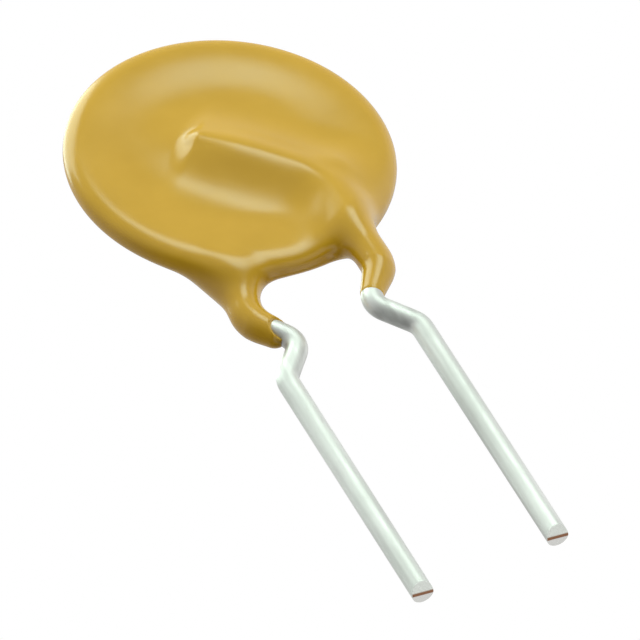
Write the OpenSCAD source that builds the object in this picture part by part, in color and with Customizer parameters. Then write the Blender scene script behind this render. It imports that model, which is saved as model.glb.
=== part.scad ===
// Radial-leaded resettable fuse: a polymer chip between two foils, two soldered leads, a dipped coating.
// Millimetres. The board's top face is z = 0, the front face of the disc looks along -Y.

/* [Leads] */
// Diameter of the lead wire
wire_d = 0.81; // [0.6:0.01:0.9]
// Distance between the straight leads
lead_pitch = 5.08; // [4.6:0.02:5.6]
// Distance between the two legs at the tops of their kinks
leg_pitch = 4.84; // [4.6:0.02:5]
// Lean of each leg, outwards on its way down
leg_splay = 1; // [0.6:0.1:2]
// Length of a lead below the board's top face
lead_length = 11.25; // [6:0.25:25]
// How far a kink reaches inwards from its straight lead
kink_depth = 1.25; // [0.8:0.05:1.6]
// Height of the kink's innermost point above the board
kink_low = 1.55; // [1.2:0.05:2.2]
// Height of the kink's upper end above its innermost point
kink_high = 1.5; // [1.2:0.1:2.2]
// Bend radius of the kink, at the wire's axis
kink_r = 0.75; // [0.6:0.05:0.9]
// Height of the slanting cut on the front half of each tip
tip_bevel = 0.22; // [0.1:0.02:0.4]

/* [Soldered stretch] */
// Length of the wire that lies across the chip
foot_length = 4.75; // [4.2:0.05:5.4]
// Slant of that stretch below the level line
foot_slant = 42.8; // [40:0.1:48]
// Depth of its lower end below the middle of the disc
crook_drop = 2.5; // [2.2:0.1:3]
// Bend radius between that stretch and the leg
crook_r = 2.5; // [1.5:0.1:4]
// Solder film between wire and foil
solder_film = 0.02; // [0.01:0.01:0.05]
// Width of the solder on the foil, on each side of the wire
solder_spread = 0.35; // [0.2:0.05:0.5]
// Height of the solder up the sides of the wire
solder_h = 0.42; // [0.25:0.01:0.5]

/* [Chip] */
// Thickness of the conductive polymer
chip_t = 0.14; // [0.12:0.01:0.3]
// Thickness of each electrode foil
foil_t = 0.03; // [0.02:0.01:0.06]

/* [Coated disc] */
// Outer diameter of the coated disc
disc_d = 11.88; // [11.4:0.02:13]
// Height of the disc's middle above the board
disc_height = 10.35; // [10:0.05:11.5]
// Coating beyond the edge of the chip
rim_cover = 0.8; // [0.6:0.05:1.2]
// Coating over the foils, at its thickest near the rim
face_cover = 0.45; // [0.4:0.01:0.6]
// Width of the rounded rim
rim_w = 0.85; // [0.6:0.05:1.1]
// How squarely the rim is rounded, where 2 is an ellipse
rim_power = 2.4; // [2:0.1:3]
// Depth of the dished face below the rim
dish_depth = 0.15; // [0.05:0.01:0.2]
// Width of the slope from the rim down into the dish
dish_w = 2.1; // [1.4:0.1:2.4]
// Rise of the middle of the face out of the dish
crown_h = 0.05; // [0:0.01:0.1]
// Width of the slope from the dish up to the middle
crown_w = 2.4; // [1.6:0.1:2.6]

/* [Coated wires] */
// Coating over the wire on the face
ridge_cover = 0.1; // [0.08:0.01:0.16]
// Coating over the wire on the leg
leg_cover = 0.22; // [0.18:0.01:0.3]
// Height of the meniscus that leans on a wire
flank_h = 0.58; // [0.3:0.02:0.66]
// Width of the meniscus
flank_w = 2.45; // [1.8:0.05:2.8]
// How hollow the meniscus is, where 1 is straight
flank_fall = 2; // [1.4:0.1:2.4]
// Rounding of the meniscus over the wire
flank_round = 0.6; // [0.3:0.05:0.8]
// Distance from the wire's end at which the meniscus starts to draw in
flank_from = 1.9; // [1:0.1:2.6]
// How sharply the meniscus draws in round the wire's end, where 1 is a half circle
flank_end = 0.6; // [0.5:0.05:1]
// How many times narrower the meniscus is by the leg
flank_pull = 1.4; // [1:0.1:2]
// Rounding of the meniscus in the turn of the wire
flank_turn = 0.4; // [0.2:0.1:0.8]
// Blend between wire and face
ridge_blend = 0.25; // [0.1:0.05:0.4]
// Blend between front leg and rim
front_blend = 0.95; // [0.6:0.05:1.4]
// Blend between back leg and rim
back_blend = 1.3; // [0.8:0.05:1.6]
// How far inside the disc's outline the blend of the face starts to turn into that of the rim
blend_inside = 2.34; // [1.6:0.02:2.8]
// How far outside the disc's outline it has done so
blend_outside = 0.56; // [0:0.02:1]
// How far the coating follows the front lead into its kink
front_run = 1.3; // [0.8:0.05:1.4]
// Coating at the front leg's mouth
front_lip = 0.09; // [0.08:0.01:0.18]
// How far the coating follows the back lead into its kink
back_run = 0.92; // [0.8:0.02:1.4]
// Coating at the back leg's mouth
back_lip = 0.13; // [0.08:0.01:0.18]
// How far the coating sags off the back lead's kink
back_sag = 0.1; // [0:0.02:0.12]
// Height above the kink's top at which that sag starts
sag_rise = 1.5; // [1:0.1:2]

/* [Hidden] */
$fn = 32;

// Coating's skin: its mesh size, the room around it, how a point is moved onto it, what counts as far
cell = 0.28;
grid_room = 0.45;
settle_step = 0.01;
settle_turns = 3;
far = 1000;

wire_r = wire_d / 2;
foil_face = chip_t / 2 + foil_t;
lead_y = foil_face + solder_film + wire_r;
chip_d = disc_d - 2 * rim_cover;
solder_w = wire_d + 2 * solder_spread;

// Solder: its lip beside the wire, its set-back from the ends of the stretch, its step round a fillet
solder_lip = 0.03;
solder_neck = wire_r + solder_lip;
solder_back = 0.3;
solder_facet = 15;

// The forming tool swells a bend by a trace, and each straight stretch runs on into its bends
bend_swell = 0.005;
bend_lap = 0.05;

// Corners of one lead, as [across, up], from the end on the chip down to the tip
foot_dir = [-cos(foot_slant), sin(foot_slant)];
kink_apex = [lead_pitch / 2 - kink_depth, kink_low];
kink_top = [leg_pitch / 2, kink_low + kink_high];
crook_z = disc_height - crook_drop;
crook = [kink_top[0] - (crook_z - kink_top[1]) * tan(leg_splay), crook_z];
foot_end = crook + foot_length * foot_dir;
seat = [lead_pitch / 2, 0];
tip = [lead_pitch / 2, -lead_length];
lead_corners = [foot_end, crook, kink_top, kink_apex, seat, tip];
lead_bends = [0, crook_r, kink_r, kink_r, kink_r, 0];

// Coated form: the rim's middle, the wire's arcs at crook and kink, and how far each leg is coated
rim_half = foil_face + face_cover;
rim_track = disc_d / 2 - rim_w;
blend_from = disc_d / 2 - blend_inside;
leg_tube_r = wire_r + leg_cover;
crook_arc = corner_arc(1);
kink_arc = corner_arc(2);
kink_dir = (kink_apex - kink_top) / norm(kink_apex - kink_top);
kink_out = [-kink_dir[1], kink_dir[0]];
front_end = kink_top + front_run * kink_dir;
back_end = kink_top + back_run * kink_dir;

lowest = min(front_end[1], back_end[1]) - leg_tube_r;
grid_margin = grid_room * [1, 1, 1];
grid_low = whole_cells([-disc_d / 2, -lead_y - leg_tube_r, lowest] - grid_margin, -1);
grid_high = whole_cells([disc_d / 2, lead_y + leg_tube_r, disc_height + disc_d / 2] + grid_margin, 1);
grid_n = [for (a = [0:2]) round((grid_high[a] - grid_low[a]) / cell)];

// Small helpers
function limit(t) = min(max(t, 0), 1);
function ease(t) = let (c = limit(t)) c * c * (3 - 2 * c);
function unit_at(angle) = [cos(angle), sin(angle)];
function cross2(a, b) = a[0] * b[1] - a[1] * b[0];
function smooth_min(a, b, k) = min(a, b) - pow(max(k - abs(a - b), 0), 2) / (4 * k);
function reverse(list) = [for (i = [len(list) - 1:-1:0]) list[i]];
function to_stretch(p, a, b) = norm(p - a - limit((p - a) * (b - a) / ((b - a) * (b - a))) * (b - a));

// Arc at a corner of the lead, where the wire turns clockwise: its two ends, its hub and its radius
function corner_arc(i) =
    let (
        reach = reach_at(lead_corners, lead_bends, i),
        into = unit_at(heading(lead_corners, i - 1)),
        start = lead_corners[i] - reach * into
    )
    [start, lead_corners[i] + reach * unit_at(heading(lead_corners, i)),
     start + lead_bends[i] * [into[1], -into[0]], lead_bends[i]];

// Distance in the lead's plane from the coated part of the wire's axis
function to_arc(p, arc) =
    let (v = p - arc[2])
    cross2(arc[1] - arc[2], v) > 0 && cross2(v, arc[0] - arc[2]) > 0 ? abs(norm(v) - arc[3]) : far;
function to_ridge(p) =
    min(to_stretch(p, foot_end, crook_arc[0]), to_arc(p, crook_arc), norm(p - crook_arc[1]));
function to_leg(p, end) =
    min(to_stretch(p, crook_arc[1], kink_arc[0]), to_arc(p, kink_arc), to_stretch(p, kink_arc[1], end));

// Coating over the wire: thin on the face, thicker on the leg, thin again at the mouth
function cover_at(p, band, run, lip) =
    let (on_leg = leg_cover + (lip - leg_cover) * limit((p - kink_top) * kink_dir / run))
    ridge_cover + (on_leg - ridge_cover) * band;

// Half thickness of the bare disc, and the hollow meniscus that it gains beside a wire
function face_half(r) =
    let (inset = rim_track - min(r, rim_track))
    rim_half - dish_depth * ease(inset / dish_w) + crown_h * ease((inset - dish_w) / crown_w);
function rounded(w) = norm([w, flank_round]) - flank_round;
function flank(p, ridge, leg) =
    let (
        v = p - foot_end,
        short = flank_from + v * foot_dir,
        round_end = norm([cross2(foot_dir, v), flank_end * short]),
        near = smooth_min(short > 0 ? round_end : ridge, flank_pull * leg, flank_turn)
    )
    flank_h * pow(1 - min(rounded(near) / rounded(flank_w), 1), flank_fall);

// Signed distance, nearly, from the disc with its squarish rim
function to_disc(a, b, half) =
    a == 0 ? b - half
    : let (
        across = a / rim_w,
        up = b / half,
        reach = pow(pow(across, rim_power) + pow(up, rim_power), 1 / rim_power),
        steep = norm([pow(across / reach, rim_power - 1) / rim_w, pow(up / reach, rim_power - 1) / half])
    )
    (reach - 1) / steep;

// Signed size of the coated form at a point: below zero inside the coating's outer skin
function coated(q) =
    let (
        front = [q[0], q[2]],
        back = [-q[0], q[2]],
        sag = back_sag * ease((kink_top[1] + sag_rise - q[2]) / sag_rise),
        ridge_front = to_ridge(front),
        ridge_back = to_ridge(back),
        leg_front = to_leg(front, front_end),
        leg_back = to_leg(back - sag * kink_out, back_end),
        r = norm([q[0], q[2] - disc_height]),
        band = ease((r - blend_from) / (blend_inside + blend_outside)),
        side = ease(0.5 + q[1] / (2 * rim_half)),
        flank_front = (1 - side) * flank(front, ridge_front, leg_front),
        flank_back = side * flank(back, ridge_back, leg_back),
        half = face_half(r) + flank_front + flank_back,
        disc = to_disc(max(r - rim_track, 0), abs(q[1]), half),
        front_r = wire_r + cover_at(front, band, front_run, front_lip),
        back_r = wire_r + cover_at(back, band, back_run, back_lip),
        front_tube = norm([min(ridge_front, leg_front), q[1] + lead_y]) - front_r,
        back_tube = norm([min(ridge_back, leg_back), q[1] - lead_y]) - back_r,
        with_front = smooth_min(disc, front_tube, ridge_blend + (front_blend - ridge_blend) * band)
    )
    smooth_min(with_front, back_tube, ridge_blend + (back_blend - ridge_blend) * band);

// Slope of the coated form, and a point moved onto its skin
function slope(q, f) =
    [for (a = [0:2]) (coated(q + settle_step * [for (b = [0:2]) a == b ? 1 : 0]) - f) / settle_step];
function settle(q, turns) =
    turns == 0 ? q
    : let (f = coated(q), g = slope(q, f)) settle(q - f * g / (g * g), turns - 1);

// Skin of the coated form: one point in each crossed cell, four cells joined round each crossed edge
function whole_cells(corner, way) = [for (c = corner) way * cell * ceil(way * c / cell)];
function grid_point(i, j, k) = grid_low + cell * [i, j, k];
function is_mixed(inside, i, j, k) =
    let (count = [for (a = [0:1], b = [0:1], c = [0:1]) if (inside[i + a][j + b][k + c]) 1])
    len(count) > 0 && len(count) < 8;
function cell_id(i, j, k) = (i * grid_n[1] + j) * grid_n[2] + k;
function two_faces(a, b, c, d, flip) = flip ? [[a, b, c], [a, c, d]] : [[a, c, b], [a, d, c]];

function skin() =
    let (
        inside = [for (i = [0:grid_n[0]]) [for (j = [0:grid_n[1]]) [for (k = [0:grid_n[2]])
            coated(grid_point(i, j, k)) < 0]]],
        mixed = [for (i = [0:grid_n[0] - 1], j = [0:grid_n[1] - 1], k = [0:grid_n[2] - 1])
            is_mixed(inside, i, j, k) ? 1 : 0],
        number = [for (n = 0, total = 0; n < len(mixed); total = total + mixed[n], n = n + 1) total],
        points = [for (i = [0:grid_n[0] - 1], j = [0:grid_n[1] - 1], k = [0:grid_n[2] - 1])
            if (mixed[cell_id(i, j, k)] == 1) settle(grid_point(i + 0.5, j + 0.5, k + 0.5), settle_turns)],
        faces = [for (i = [1:grid_n[0] - 1], j = [1:grid_n[1] - 1], k = [1:grid_n[2] - 1])
            let (here = inside[i][j][k])
            each concat(
                here == inside[i + 1][j][k] ? [] : two_faces(
                    number[cell_id(i, j - 1, k - 1)], number[cell_id(i, j, k - 1)],
                    number[cell_id(i, j, k)], number[cell_id(i, j - 1, k)], !here),
                here == inside[i][j + 1][k] ? [] : two_faces(
                    number[cell_id(i - 1, j, k - 1)], number[cell_id(i - 1, j, k)],
                    number[cell_id(i, j, k)], number[cell_id(i, j, k - 1)], !here),
                here == inside[i][j][k + 1] ? [] : two_faces(
                    number[cell_id(i - 1, j - 1, k)], number[cell_id(i, j - 1, k)],
                    number[cell_id(i, j, k)], number[cell_id(i - 1, j, k)], !here))]
    )
    [points, faces];

// A round wire along corners in its own plane, each corner turned on its bend radius
function heading(c, i) = atan2(c[i + 1][1] - c[i][1], c[i + 1][0] - c[i][0]);
function turn_at(c, i) =
    let (t = heading(c, i) - heading(c, i - 1))
    t > 180 ? t - 360 : t < -180 ? t + 360 : t;
function reach_at(c, r, i) = i == 0 || i == len(c) - 1 ? 0 : r[i] * tan(abs(turn_at(c, i)) / 2);
function lap_at(c, i) = i == 0 || i == len(c) - 1 ? 0 : bend_lap;

module stretch(c, r, i) {
    from = reach_at(c, r, i) - lap_at(c, i);
    to = norm(c[i + 1] - c[i]) - reach_at(c, r, i + 1) + lap_at(c, i + 1);
    translate(c[i])
        rotate(heading(c, i))
            translate([from, 0])
                rotate([0, 90, 0])
                    cylinder(h = to - from, d = wire_d);
}

module bend(c, r, i) {
    turn = turn_at(c, i);
    left = turn > 0 ? 1 : -1;
    translate(c[i])
        rotate(heading(c, i - 1))
            translate([-reach_at(c, r, i), left * r[i]])
                rotate(left > 0 ? -90 : 90 + turn)
                    rotate_extrude(angle = abs(turn))
                        translate([r[i], 0])
                            circle(r = wire_r + bend_swell);
}

// One lead as formed, with its soldered stretch on the front foil
module formed_lead() {
    translate([0, -lead_y, 0])
        rotate([90, 0, 0])
            union() {
                for (i = [0:len(lead_corners) - 2])
                    stretch(lead_corners, lead_bends, i);
                for (i = [1:len(lead_corners) - 2])
                    bend(lead_corners, lead_bends, i);
            }
}

// The cutter's slanting face on the front half of a tip
module tip_cut(across, depth) {
    translate([across, depth, -lead_length])
        rotate([-atan2(tip_bevel, wire_r), 0, 0])
            translate([-wire_d, -2 * wire_d, -wire_d])
                cube([2 * wire_d, 2 * wire_d, wire_d]);
}

// A wire's solder: a hollow fillet on each side, from the foil up to the wire
function fillet_side(sign) =
    [for (a = [0:solder_facet:90])
        [sign * (solder_neck + (solder_w / 2 - solder_neck) * (1 - sin(a))), solder_h * (1 - cos(a))]];

module on_foot() {
    rotate([90, 0, 0])
        translate([foot_end[0], foot_end[1], foil_face])
            rotate(-foot_slant)
                children();
}

module solder_bar(sink) {
    base = [[-solder_w / 2, -sink], [solder_w / 2, -sink]];
    translate([solder_back, 0, 0])
        rotate([90, 0, 90])
            linear_extrude(foot_length - reach_at(lead_corners, lead_bends, 1) - 2 * solder_back)
                polygon(concat(base, fillet_side(1), reverse(fillet_side(-1))));
}

// Everything that is dipped, as one form
module dipped_core() {
    translate([0, foil_face, disc_height])
        rotate([90, 0, 0])
            cylinder(h = 2 * foil_face, d = chip_d);
    for (turn = [0, 180])
        rotate([0, 0, turn]) {
            on_foot()
                solder_bar(foil_t);
            formed_lead();
        }
}

module ptc_chip() {
    color("#2b2b2d")
        translate([0, chip_t / 2, disc_height])
            rotate([90, 0, 0])
                cylinder(h = chip_t, d = chip_d);
}

module front_electrode() {
    color("#b9bcc0")
        translate([0, -chip_t / 2, disc_height])
            rotate([90, 0, 0])
                cylinder(h = foil_t, d = chip_d);
}

module back_electrode() {
    rotate([0, 0, 180])
        front_electrode();
}

module front_lead() {
    color("#d9ddd6")
        difference() {
            formed_lead();
            tip_cut(lead_pitch / 2, -lead_y);
        }
}

module back_lead() {
    color("#d9ddd6")
        difference() {
            rotate([0, 0, 180])
                formed_lead();
            tip_cut(-lead_pitch / 2, lead_y);
        }
}

module front_solder() {
    color("#a9adb0")
        on_foot()
            difference() {
                solder_bar(0);
                translate([0, 0, solder_film + wire_r])
                    rotate([0, 90, 0])
                        cylinder(h = foot_length, d = wire_d);
            }
}

module back_solder() {
    rotate([0, 0, 180])
        front_solder();
}

// The dipped coating: the coated form less all that was dipped
module coating() {
    mesh = skin();
    color("#c4a046")
        difference() {
            polyhedron(points = mesh[0], faces = mesh[1], convexity = 6);
            dipped_core();
        }
}

coating();
ptc_chip();
front_electrode();
back_electrode();
front_lead();
back_lead();
front_solder();
back_solder();
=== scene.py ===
"""Looks of a radial-leaded resettable fuse: dipped ochre coating, kinked tinned leads, plain white studio.

Sizes are in millimetres and turn into metres where a mesh is made. The front of the disc looks along -Y.
"""

import math

import bpy
import numpy as np
from mathutils import Matrix, Vector


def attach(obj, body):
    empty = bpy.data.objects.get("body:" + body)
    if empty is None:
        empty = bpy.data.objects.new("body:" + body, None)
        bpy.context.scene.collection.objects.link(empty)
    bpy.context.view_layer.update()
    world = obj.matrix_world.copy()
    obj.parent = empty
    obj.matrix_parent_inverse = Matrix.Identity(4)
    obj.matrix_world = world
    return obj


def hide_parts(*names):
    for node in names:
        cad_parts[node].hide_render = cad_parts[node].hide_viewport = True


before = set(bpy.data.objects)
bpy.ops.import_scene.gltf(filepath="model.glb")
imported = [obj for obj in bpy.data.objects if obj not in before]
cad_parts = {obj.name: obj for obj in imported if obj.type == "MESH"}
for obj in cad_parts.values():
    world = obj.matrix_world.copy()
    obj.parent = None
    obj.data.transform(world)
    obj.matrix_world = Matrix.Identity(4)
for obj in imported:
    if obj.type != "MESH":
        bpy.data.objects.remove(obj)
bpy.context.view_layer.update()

MM = 0.001

# Leads
WIRE_R = 0.405
LEAD_PITCH = 5.08
LEG_PITCH = 4.84
LEAD_LENGTH = 11.25
LEAD_Y = 0.525
KINK_DEPTH = 1.25
KINK_LOW = 1.55
KINK_HIGH = 1.5
KINK_R = 0.75
TIP_BEVEL = 0.22
TIP_CLEAR = 1.5 * TIP_BEVEL  # length above the tip's ring that has no other rings
COPPER_LINE = (0.04, 0.08)  # half widths of the bare copper on the cut, without and with its soft edge

# Soldered stretch of each lead, which shows as a ridge
FOOT_LENGTH = 4.55
FOOT_SLANT = math.radians(42.8)
CROOK_DROP = 2.5
CROOK_R = 2.5
LEG_SPLAY = math.radians(1)

# Coated disc: a rounded rim, a shallow dish inside it, a slight crown in the middle
DISC_R = 5.94
DISC_HEIGHT = 10.35
RIM_HALF = 0.55
RIM_W = 0.85
RIM_POWER = 2.4
DISH_DEPTH = 0.15
DISH_W = 2.1
CROWN_H = 0.05
CROWN_W = 2.4

# Coated wires: a meniscus leans on each wire, as a wide apron with a crest along the wire
FACE_COVER = 0.06
LEG_COVER = 0.22
FLANK_H = 0.72  # height beside the wire
FLANK_W = 3.0  # reach to the side
FLANK_FALL = 2.5  # hollowness of its slope
FLANK_ROUND = 0.8  # roundness of its crest
FLANK_APRON = 1.0  # half width of the apron's blunt top
FLANK_FROM = 1.6  # how far from the wire's end the apron starts to draw in
FLANK_END = 0.6  # how fast the apron draws in there
FLANK_NOSE = 3.5  # how fast the crest falls past the wire's end
FLANK_PULL = 1.15  # how much narrower it is by the leg
FLANK_TURN = 0.6  # roundness of its corner between foot and leg
FLANK_CLOSE = 0.3  # up to here it follows the wire's arc
FLANK_WIDE = 1.3  # from here it follows the corner

# Blends of the coated wires with the disc: tight on the ridge, wide where a leg leaves the rim
RIDGE_BLEND = 0.2
FRONT_BLEND = 0.95
BACK_BLEND = 1.3
BLEND_FROM = 3.6
BLEND_TO = 6.5

# Ends of the coated legs, each a short way down its kink: the back one sags and is scooped at its mouth
COAT_KINK_R = 1.5
FRONT_RUN = 1.3
FRONT_LIP_R = 0.44
BACK_RUN = 0.92
BACK_LIP_R = 0.54
BACK_SAG = 0.1
SAG_RISE = 1.5
SCOOP_AT = 1.3
SCOOP_OUT = 0.66
SCOOP_R = 0.62
SCOOP_BLEND = 0.06

# Meshes
SKIN_CELL = 0.085
SKIN_ROOM = 0.5
SETTLE_TURNS = 4
SLOPE_STEP = 1e-4
WIRE_SIDES = 48
ROUTE_STEP = 0.08

# Camera: where it stands, seen from the middle of the disc, and where that middle lies in the picture
CAMERA_AZIMUTH = math.radians(-27.596)
CAMERA_ELEVATION = math.radians(-38.777)
CAMERA_ROLL = math.radians(-32.692)
CAMERA_DISTANCE = 600.0
PIXELS_PER_MM = 28.238
DISC_PIXEL = (229.845, 159.641)
PICTURE = 640
SENSOR = 36.0

# Colours, most of them from darker to paler patches, and the depth of the fine relief
EPOXY_COLOURS = ((0.56, 0.31, 0.014), (0.61, 0.34, 0.018))
TIN_COLOURS = ((0.55, 0.56, 0.535), (0.73, 0.745, 0.715))
TIP_COLOURS = ((0.76, 0.76, 0.73), (0.86, 0.86, 0.83))
COPPER_COLOUR = (0.3, 0.14, 0.08, 1)
POLYMER_COLOURS = ((0.02, 0.02, 0.022), (0.035, 0.035, 0.037))
FOIL_COLOURS = ((0.45, 0.45, 0.44), (0.55, 0.55, 0.54))
SOLDER_COLOURS = ((0.4, 0.41, 0.41), (0.52, 0.53, 0.53))
FLOOR_COLOUR = (0.8, 0.8, 0.8, 1)
RELIEF = 0.004

# Light by direction: a slanted soft key in front, a fill on the right, a glow below, a room pale above
KEY_ACROSS = (-0.1, 0.2, 0.43, 0.55)
KEY_UP = (-0.1, 0.36, 0.595, 0.745)
KEY_TILT = 0.45
KEY_DEPTH = (-0.3, 0)
KEY_RADIANCE = 4.8
FILL_ACROSS = (0.6, 0.95)
FILL_RADIANCE = 0.6
GLOW_ACROSS = (0.15, 0.28, 0.46, 0.6)
GLOW_UP = (-0.65, -0.45)
GLOW_RADIANCE = 1.0
ROOM_UP = (-0.6, 0.2)
ROOM_LOW = 0.04
ROOM_HIGH = 0.74

# Panel overhead, placed from the middle of the disc, and the floor far below
CEILING_AT = (-90, 0, 300)
CEILING_SIZE = (260, 440)
CEILING_RADIANCE = 3.4
LAMP_COLOUR = (0.82, 1.0, 0.88)
FLOOR_R = 300
FLOOR_SIDES = 96
FLOOR_Z = -450


def vec(*parts):
    return np.array(parts, float)


# Corners of one lead, across and up, from its end on the chip down to its tip
FOOT_DIR = vec(-math.cos(FOOT_SLANT), math.sin(FOOT_SLANT))
KINK_APEX = vec(LEAD_PITCH / 2 - KINK_DEPTH, KINK_LOW)
KINK_TOP = vec(LEG_PITCH / 2, KINK_LOW + KINK_HIGH)
LEG_RISE = DISC_HEIGHT - CROOK_DROP - KINK_TOP[1]
CROOK = KINK_TOP + vec(-LEG_RISE * math.tan(LEG_SPLAY), LEG_RISE)
FOOT_END = CROOK + FOOT_LENGTH * FOOT_DIR
SEAT = vec(LEAD_PITCH / 2, 0)
TIP = vec(LEAD_PITCH / 2, -LEAD_LENGTH)
LEAD_CORNERS = [FOOT_END, CROOK, KINK_TOP, KINK_APEX, SEAT, TIP]
LEAD_BENDS = [0, CROOK_R, KINK_R, KINK_R, KINK_R, 0]

# Coated form: the track of the rim, and the ends of the legs
RIM_TRACK = DISC_R - RIM_W
LEG_TUBE_R = WIRE_R + LEG_COVER
KINK_DIR = (KINK_APEX - KINK_TOP) / np.linalg.norm(KINK_APEX - KINK_TOP)
KINK_OUT = vec(-KINK_DIR[1], KINK_DIR[0])
FRONT_END = KINK_TOP + FRONT_RUN * KINK_DIR
BACK_END = KINK_TOP + BACK_RUN * KINK_DIR
SCOOP = KINK_TOP + SCOOP_AT * KINK_DIR


# Coated form as a signed size: below zero inside the skin


def ease(t):
    c = np.clip(t, 0, 1)
    return c * c * (3 - 2 * c)


def smooth_min(a, b, k):
    return np.minimum(a, b) - np.maximum(k - np.abs(a - b), 0) ** 2 / (4 * k)


def to_stretch(x, z, a, b):
    along = b - a
    t = np.clip(((x - a[0]) * along[0] + (z - a[1]) * along[1]) / (along @ along), 0, 1)
    return np.hypot(x - a[0] - t * along[0], z - a[1] - t * along[1])


def to_rim(a, b, half_a, half_b):
    """Signed distance, nearly, to an oval that is a little squarer than an ellipse."""
    across, up = a / half_a, np.maximum(np.abs(b) / half_b, 1e-3)
    reach = (across**RIM_POWER + up**RIM_POWER) ** (1 / RIM_POWER)
    steep = np.hypot((across / reach) ** (RIM_POWER - 1) / half_a, (up / reach) ** (RIM_POWER - 1) / half_b)
    return (reach - 1) / steep


def bend(before, corner, after, r):
    """Ends, hub and turn of the arc that rounds one corner of a route."""
    into = (corner - before) / np.linalg.norm(corner - before)
    out = (after - corner) / np.linalg.norm(after - corner)
    turn = math.atan2(into[0] * out[1] - into[1] * out[0], into @ out)
    reach = r * math.tan(abs(turn) / 2)
    hub = corner - reach * into + math.copysign(r, turn) * vec(-into[1], into[0])
    return corner - reach * into, corner + reach * out, hub, turn


def to_arc(x, z, start, end, hub, r, turn):
    vx, vz = x - hub[0], z - hub[1]
    a, b = start - hub, end - hub
    way = math.copysign(1, turn)
    within = (way * (a[0] * vz - a[1] * vx) > 0) & (way * (vx * b[1] - vz * b[0]) > 0)
    return np.where(within, np.abs(np.hypot(vx, vz) - r), np.inf)


def to_wire(x, z, last):
    """Distance, across and up, to the coated run of a wire, down to where its coating ends on the kink."""
    crook_in, crook_out, crook_hub, crook_turn = bend(FOOT_END, CROOK, KINK_TOP, CROOK_R)
    kink_in, kink_out, kink_hub, kink_turn = bend(CROOK, KINK_TOP, KINK_APEX, COAT_KINK_R)
    return np.minimum.reduce([
        to_stretch(x, z, FOOT_END, crook_in),
        to_arc(x, z, crook_in, crook_out, crook_hub, CROOK_R, crook_turn),
        to_stretch(x, z, crook_out, kink_in),
        to_arc(x, z, kink_in, kink_out, kink_hub, COAT_KINK_R, kink_turn),
        to_stretch(x, z, kink_out, last),
    ])


def face_half(r):
    inset = RIM_TRACK - np.minimum(r, RIM_TRACK)
    return RIM_HALF - DISH_DEPTH * ease(inset / DISH_W) + CROWN_H * ease((inset - DISH_W) / CROWN_W)


def tube_r(x, z, band, run, lip_r):
    """Radius of the coated wire: thin under the ridge, thick on the leg, down to a lip on the kink."""
    down = (x - KINK_TOP[0]) * KINK_DIR[0] + (z - KINK_TOP[1]) * KINK_DIR[1]
    on_leg = LEG_COVER + (lip_r - LEG_TUBE_R) * np.clip(down / run, 0, 1)
    return WIRE_R + FACE_COVER + (on_leg - FACE_COVER) * band


def rounded(w):
    return np.hypot(w, FLANK_ROUND) - FLANK_ROUND


def meniscus(w):
    return FLANK_H * (1 - np.minimum(rounded(w) / rounded(FLANK_W), 1)) ** FLANK_FALL


def flank(x, z, w):
    """Height of the meniscus above the face: a wide apron, and a crest as long as the wire."""
    along = -((x - FOOT_END[0]) * FOOT_DIR[0] + (z - FOOT_END[1]) * FOOT_DIR[1])
    beside = (x - FOOT_END[0]) * FOOT_DIR[1] - (z - FOOT_END[1]) * FOOT_DIR[0]
    foot = to_stretch(x, z, FOOT_END, CROOK)
    leg = FLANK_PULL * to_stretch(x, z, CROOK, KINK_TOP)
    turned = ease((w - FLANK_CLOSE) / (FLANK_WIDE - FLANK_CLOSE))

    def drawn_in(end):
        close = np.where(along < FLANK_FROM, end, w)
        wide = smooth_min(np.where(along < FLANK_FROM, end, foot), leg, FLANK_TURN)
        return close + (wide - close) * turned

    apron = drawn_in(np.hypot(beside, FLANK_END * (FLANK_FROM - along)))
    crest = drawn_in(np.hypot(beside, FLANK_NOSE * np.maximum(-along, 0)))
    blunt = meniscus(crest) - meniscus(np.hypot(crest, FLANK_APRON))
    return meniscus(np.hypot(apron, FLANK_APRON)) + blunt


def coated(p):
    x, y, z = p[..., 0], p[..., 1], p[..., 2]
    sag = BACK_SAG * ease((KINK_TOP[1] + SAG_RISE - z) / SAG_RISE)
    w_front = to_wire(x, z, FRONT_END)
    w_back = to_wire(-x - sag * KINK_OUT[0], z - sag * KINK_OUT[1], BACK_END)
    r = np.hypot(x, z - DISC_HEIGHT)
    band = ease((r - BLEND_FROM) / (BLEND_TO - BLEND_FROM))
    tube_front = tube_r(x, z, band, FRONT_RUN, FRONT_LIP_R)
    tube_back = tube_r(-x, z, band, BACK_RUN, BACK_LIP_R)
    side = ease(0.5 + y / (2 * RIM_HALF))
    face = face_half(r)
    half = face + (1 - side) * flank(x, z, w_front) + side * flank(-x, z, w_back)
    disc = to_rim(np.maximum(r - RIM_TRACK, 0), y, RIM_W, half)
    front_k = RIDGE_BLEND + (FRONT_BLEND - RIDGE_BLEND) * band
    back_k = RIDGE_BLEND + (BACK_BLEND - RIDGE_BLEND) * band
    front = np.hypot(w_front, y + LEAD_Y) - tube_front
    back = np.hypot(w_back, y - LEAD_Y) - tube_back
    whole = smooth_min(smooth_min(disc, front, front_k), back, back_k)
    scoop = np.hypot(np.hypot(-x - SCOOP[0], z - SCOOP[1]), y - LEAD_Y + SCOOP_OUT) - SCOOP_R
    return -smooth_min(-whole, scoop, SCOOP_BLEND)


# Skin of a form: one point in each cell that it crosses, moved onto it, and a face round each crossed edge


def slope(form, p, f):
    return np.stack([(form(p + SLOPE_STEP * axis) - f) / SLOPE_STEP for axis in np.eye(3)], -1)


def settle(form, p, longest):
    for _ in range(SETTLE_TURNS):
        f = form(p)
        g = slope(form, p, f)
        step = f[:, None] * g / np.maximum((g * g).sum(1), 1e-9)[:, None]
        p = p - np.clip(step, -longest, longest)
    return p


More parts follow.
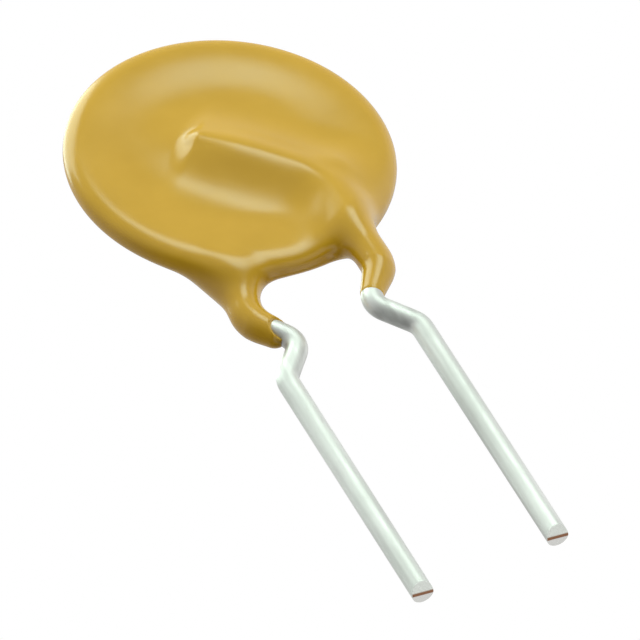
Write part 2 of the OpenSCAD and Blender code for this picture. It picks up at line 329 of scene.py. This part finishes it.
def crossed_faces(inside, number, a):
    b, c = (a + 1) % 3, (a + 2) % 3
    here = [slice(1, -1)] * 3
    there = [slice(1, -1)] * 3
    here[a], there[a] = slice(0, -1), slice(1, None)
    one, other = inside[tuple(here)], inside[tuple(there)]
    base = np.argwhere(one != other)
    base[:, [b, c]] += 1

    def cell(step_b, step_c):
        at = base.copy()
        at[:, b] += step_b
        at[:, c] += step_c
        return number[tuple(at.T)]

    faces = np.stack([cell(-1, -1), cell(0, -1), cell(0, 0), cell(-1, 0)], 1)
    outward = one[one != other]
    faces[~outward] = faces[~outward][:, ::-1]
    return faces


def skin_of(form, low, high, cell):
    count = np.ceil((high - low) / cell).astype(int)
    ticks = [low[a] + cell * np.arange(count[a] + 1) for a in range(3)]
    inside = form(np.stack(np.meshgrid(*ticks, indexing="ij"), -1)) < 0
    corners = sum(
        inside[i:count[0] + i, j:count[1] + j, k:count[2] + k].astype(int)
        for i in (0, 1) for j in (0, 1) for k in (0, 1)
    )
    mixed = (corners > 0) & (corners < 8)
    number = np.full(mixed.shape, -1)
    number[mixed] = np.arange(mixed.sum())
    points = settle(form, low + cell * (np.argwhere(mixed) + 0.5), cell)
    faces = np.concatenate([crossed_faces(inside, number, a) for a in range(3)])
    normals = slope(form, points, form(points))
    return points, faces, normals / np.linalg.norm(normals, axis=1)[:, None]


# Objects


def add_object(name, points, faces, normals=None):
    mesh = bpy.data.meshes.new(name)
    mesh.from_pydata((points * MM).tolist(), [], [list(map(int, f)) for f in faces])
    mesh.validate()
    mesh.polygons.foreach_set("use_smooth", [True] * len(mesh.polygons))
    if normals is not None:
        mesh.normals_split_custom_set_from_vertices(normals.tolist())
    thing = bpy.data.objects.new(name, mesh)
    bpy.context.scene.collection.objects.link(thing)
    return thing


def dress(thing, materials, node):
    for material in materials:
        thing.data.materials.append(material)
    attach(thing, "root")
    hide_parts(node)


# Materials


class Tree:
    """Short ways to add nodes to a node tree."""

    def __init__(self, tree):
        self.tree = tree

    def add(self, kind, inputs=None, **settings):
        node = self.tree.nodes.new(kind)
        for key, value in settings.items():
            setattr(node, key, value)
        for key, value in (inputs or {}).items():
            self.put(node.inputs[key], value)
        return node

    def put(self, socket, value):
        if isinstance(value, bpy.types.NodeSocket):
            self.tree.links.new(value, socket)
        else:
            socket.default_value = value

    def maths(self, operation, *values):
        return self.add("ShaderNodeMath", dict(enumerate(values)), operation=operation).outputs[0]

    def fade(self, value, low, high, to_low, to_high, way="SMOOTHSTEP"):
        inputs = {"Value": value, "From Min": low, "From Max": high, "To Min": to_low, "To Max": to_high}
        return self.add("ShaderNodeMapRange", inputs, interpolation_type=way).outputs["Result"]

    def within(self, value, edges):
        """One between the inner two edges, none past the outer two."""
        rise = self.fade(value, *edges[:2], 0, 1)
        fall = self.fade(value, *edges[2:], 1, 0)
        return self.maths("MULTIPLY", rise, fall)

    def mix(self, factor, a, b, way="MIX"):
        node = self.add("ShaderNodeMix", data_type="RGBA", blend_type=way)
        for key, value in (("Factor", factor), ("A", a), ("B", b)):
            self.put(node.inputs[key], value)
        return node.outputs["Result"]


class Nodes(Tree):
    """A material with its shader."""

    def __init__(self, name):
        self.material = bpy.data.materials.new(name)
        self.material.use_nodes = True
        super().__init__(self.material.node_tree)
        self.shader = self.tree.nodes["Principled BSDF"]

    def set(self, **values):
        for key, value in values.items():
            self.put(self.shader.inputs[key.replace("_", " ")], value)

    def place(self):
        return self.add("ShaderNodeTexCoord").outputs["Object"]

    def noise(self, vector, scale, detail):
        inputs = {"Vector": vector, "Scale": scale, "Detail": detail}
        return self.add("ShaderNodeTexNoise", inputs).outputs["Fac"]

    def spread(self, value, low, high):
        return self.fade(value, 0.25, 0.75, low, high, "LINEAR")

    def shades(self, value, colours, low=0.3, high=0.7):
        ramp = self.add("ShaderNodeValToRGB", {"Fac": value})
        for element, place, colour in zip(ramp.color_ramp.elements, (low, high), colours):
            element.position = place
            element.color = (*colour, 1)
        return ramp.outputs["Color"]

    def bump(self, height):
        inputs = {"Height": height, "Distance": RELIEF * MM}
        return self.add("ShaderNodeBump", inputs).outputs["Normal"]


def epoxy():
    """Glossy ochre with faint clouds and a fine peel."""
    n = Nodes("epoxy_coating")
    place = n.place()
    clouds = n.noise(place, scale=450, detail=3)
    peel = n.noise(place, scale=900, detail=2)
    colour = n.shades(clouds, EPOXY_COLOURS)
    n.set(Base_Color=colour, Roughness=n.spread(peel, 0.17, 0.23), Normal=n.bump(peel))
    return n.material


def tin():
    """Matte tin with streaks and draw lines along the wire, and patches that are duller."""
    n = Nodes("tinned_wire")
    place = n.place()
    stretched = n.add("ShaderNodeMapping", {"Vector": place, "Scale": (1, 1, 0.06)}).outputs["Vector"]
    draw = n.noise(stretched, scale=9000, detail=3)
    patches = n.noise(place, scale=900, detail=4)
    streaks = n.noise(stretched, scale=2600, detail=4)
    colour = n.shades(streaks, TIN_COLOURS, 0.32, 0.68)
    roughness = n.spread(patches, 0.4, 0.64)
    n.set(Base_Color=colour, Metallic=0.85, Roughness=roughness, Normal=n.bump(draw))
    return n.material


def cut_tip():
    """Bright cut metal with a line of bare copper across its middle."""
    n = Nodes("cut_tip")
    place = n.place()
    grain = n.noise(place, scale=9000, detail=3)
    metal = n.shades(grain, TIP_COLOURS)
    depth = n.add("ShaderNodeSeparateXYZ", {"Vector": place}).outputs["Y"]
    off = n.maths("SUBTRACT", n.maths("ABSOLUTE", depth), LEAD_Y * MM)
    edges = (width * MM for width in COPPER_LINE)
    line = n.fade(n.maths("ABSOLUTE", off), *edges, 1, 0, "LINEAR")
    colour = n.mix(line, metal, COPPER_COLOUR)
    n.set(Base_Color=colour, Metallic=1.0, Roughness=n.spread(grain, 0.2, 0.28))
    return n.material


def plain_inner(name, colours, metallic):
    n = Nodes(name)
    grain = n.noise(n.place(), scale=3000, detail=3)
    n.set(Base_Color=n.shades(grain, colours), Metallic=metallic, Roughness=n.spread(grain, 0.4, 0.6))
    return n.material


# Coating


def make_coating():
    low = vec(-DISC_R, -LEAD_Y - LEG_TUBE_R, KINK_LOW) - SKIN_ROOM
    high = vec(DISC_R, LEAD_Y + LEG_TUBE_R, DISC_HEIGHT + DISC_R) + SKIN_ROOM
    points, faces, normals = skin_of(coated, low, high, SKIN_CELL)
    skin = add_object("dipped_coating", points, faces, normals)
    dress(skin, [epoxy()], "coating")


# Leads


def swing(arm, t):
    return vec(arm[0] * math.cos(t) - arm[1] * math.sin(t), arm[0] * math.sin(t) + arm[1] * math.cos(t))


def lead_route(step):
    """Points of a lead's axis in its own plane, from its end on the chip to its tip."""
    route = [LEAD_CORNERS[0]]
    for before, corner, after, r in zip(LEAD_CORNERS, LEAD_CORNERS[1:], LEAD_CORNERS[2:], LEAD_BENDS[1:]):
        start, _, hub, turn = bend(before, corner, after, r)
        for t in np.linspace(0, turn, max(3, int(abs(turn) * r / step))):
            route.append(hub + swing(start - hub, t))
    route.append(LEAD_CORNERS[-1])
    fine = [route[0]]
    for a, b in zip(route, route[1:]):
        pieces = max(1, int(np.linalg.norm(b - a) / step))
        fine.extend(a + (b - a) * i / pieces for i in range(1, pieces + 1))
    fine = np.array(fine)
    return np.concatenate([fine[fine[:, 1] > TIP[1] + TIP_CLEAR], fine[-1:]])


def wire_points(route, side):
    """Rings round a route, the last one bevelled on its front half, then the middles of both ends."""
    heading = np.gradient(route, axis=0)
    heading /= np.linalg.norm(heading, axis=1)[:, None]
    across = np.stack([-heading[:, 1], heading[:, 0]], 1)
    angles = np.linspace(0, 2 * math.pi, WIRE_SIDES, endpoint=False)
    depth = -side * LEAD_Y + side * WIRE_R * np.sin(angles)
    rings = []
    for at, to in zip(route, across):
        flat = at[None] + WIRE_R * np.cos(angles)[:, None] * to[None]
        rings.append(np.stack([side * flat[:, 0], depth, flat[:, 1]], 1))
    rings[-1][:, 2] += np.maximum(-side * LEAD_Y - depth, 0) * TIP_BEVEL / WIRE_R
    middles = [[side * end[0], -side * LEAD_Y, end[1]] for end in (TIP, FOOT_END)]
    return np.concatenate([*rings, middles])


def wire_faces(last):
    """Faces between the rings, then round the middle of the end on the chip, then round that of the tip."""
    n = WIRE_SIDES
    centre = (last + 1) * n
    faces = []
    for i in range(last):
        for j in range(n):
            a, b = i * n + j, i * n + (j + 1) % n
            faces.append([a, b, b + n, a + n])
    faces.extend([(j + 1) % n, j, centre + 1] for j in range(n))
    faces.extend([last * n + j, last * n + (j + 1) % n, centre] for j in range(n))
    return faces


def make_lead(name, side, node, materials):
    route = lead_route(ROUTE_STEP)
    last = len(route) - 1
    lead = add_object(name, wire_points(route, side), wire_faces(last))
    for polygon in list(lead.data.polygons)[-WIRE_SIDES:]:
        polygon.use_smooth = False
        polygon.material_index = 1
    rim = range(last * WIRE_SIDES, (last + 1) * WIRE_SIDES)
    for edge in lead.data.edges:
        edge.use_edge_sharp = all(corner in rim for corner in edge.vertices)
    dress(lead, materials, node)


# Studio


def camera_axes():
    a, e, roll = CAMERA_AZIMUTH, CAMERA_ELEVATION, CAMERA_ROLL
    back = Vector((math.sin(a) * math.cos(e), -math.cos(a) * math.cos(e), math.sin(e)))
    level = Vector((math.cos(a), math.sin(a), 0))
    rise = back.cross(level)
    right = math.cos(roll) * level + math.sin(roll) * rise
    up = math.cos(roll) * rise - math.sin(roll) * level
    return right, up, back


def add_camera():
    right, up, back = camera_axes()
    data = bpy.data.cameras.new("camera")
    data.sensor_width = SENSOR
    data.lens = SENSOR * PIXELS_PER_MM * CAMERA_DISTANCE / PICTURE
    camera = bpy.data.objects.new("camera", data)
    bpy.context.scene.collection.objects.link(camera)
    middle = PICTURE / 2
    aside = (middle - DISC_PIXEL[0]) / PIXELS_PER_MM
    above = (middle - DISC_PIXEL[1]) / PIXELS_PER_MM
    target = Vector((0, 0, DISC_HEIGHT)) + aside * right - above * up
    place = (target + CAMERA_DISTANCE * back) * MM
    turn = Matrix((right, up, back)).transposed().to_4x4()
    camera.matrix_world = Matrix.Translation(place) @ turn
    bpy.context.scene.camera = camera


def add_ceiling():
    """A soft panel overhead, a little to the left of the disc, that shines straight down."""
    data = bpy.data.lights.new("ceiling", "AREA")
    data.shape = "RECTANGLE"
    data.size, data.size_y = CEILING_SIZE[0] * MM, CEILING_SIZE[1] * MM
    data.color = LAMP_COLOUR
    data.energy = CEILING_RADIANCE * math.pi * data.size * data.size_y
    lamp = bpy.data.objects.new("ceiling", data)
    bpy.context.scene.collection.objects.link(lamp)
    lamp.location = Vector((CEILING_AT[0], CEILING_AT[1], CEILING_AT[2] + DISC_HEIGHT)) * MM
    lamp.visible_camera = False


def add_world():
    """White for the camera; for everything else the key, the fill, the glow and the room."""
    world = bpy.data.worlds.new("studio")
    bpy.context.scene.world = world
    world.use_nodes = True
    t = Tree(world.node_tree)
    way = t.add("ShaderNodeTexCoord").outputs["Generated"]
    parts = t.add("ShaderNodeSeparateXYZ", {"Vector": way}).outputs
    across, depth, height = (parts[axis] for axis in "XYZ")
    room = t.fade(height, *ROOM_UP, ROOM_LOW, ROOM_HIGH)
    fill = t.fade(across, *FILL_ACROSS, 0, FILL_RADIANCE)
    glow = t.maths("MULTIPLY", t.within(across, GLOW_ACROSS), t.fade(height, *GLOW_UP, GLOW_RADIANCE, 0))
    pale = t.maths("ADD", t.maths("ADD", room, fill), glow)
    slanted = t.maths("ADD", height, t.fade(across, -1, 1, -KEY_TILT, KEY_TILT, "LINEAR"))
    window = t.maths("MULTIPLY", t.within(across, KEY_ACROSS), t.within(slanted, KEY_UP))
    key = t.maths("MULTIPLY", window, t.fade(depth, *KEY_DEPTH, KEY_RADIANCE, 0))
    grey = t.add("ShaderNodeCombineColor", {channel: pale for channel in ("Red", "Green", "Blue")})
    tinted = t.add("ShaderNodeVectorMath", {0: LAMP_COLOUR, "Scale": key}, operation="SCALE")
    light = t.mix(1, grey.outputs["Color"], tinted.outputs["Vector"], "ADD")
    seen = t.add("ShaderNodeLightPath").outputs["Is Camera Ray"]
    white = t.mix(seen, light, (1, 1, 1, 1))
    t.put(t.tree.nodes["Background"].inputs["Color"], white)


def add_floor():
    bpy.ops.mesh.primitive_circle_add(
        vertices=FLOOR_SIDES, radius=FLOOR_R * MM, fill_type="NGON", location=(0, 0, FLOOR_Z * MM)
    )
    floor = bpy.context.object
    floor.name = "floor"
    n = Nodes("pale_floor")
    n.set(Base_Color=FLOOR_COLOUR, Roughness=0.9)
    floor.data.materials.append(n.material)


def dress_inside():
    insides = {
        "ptc_chip": plain_inner("conductive_polymer", POLYMER_COLOURS, 0),
        "front_electrode": plain_inner("electrode_foil", FOIL_COLOURS, 1),
        "front_solder": plain_inner("solder", SOLDER_COLOURS, 1),
    }
    insides["back_electrode"] = insides["front_electrode"]
    insides["back_solder"] = insides["front_solder"]
    for node, material in insides.items():
        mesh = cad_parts[node].data
        mesh.materials.clear()
        mesh.materials.append(material)


make_coating()
wire_materials = [tin(), cut_tip()]
make_lead("front_wire", 1, "front_lead", wire_materials)
make_lead("back_wire", -1, "back_lead", wire_materials)
dress_inside()

add_camera()
add_world()
add_floor()
add_ceiling()
bpy.context.scene.view_settings.view_transform = "Standard"
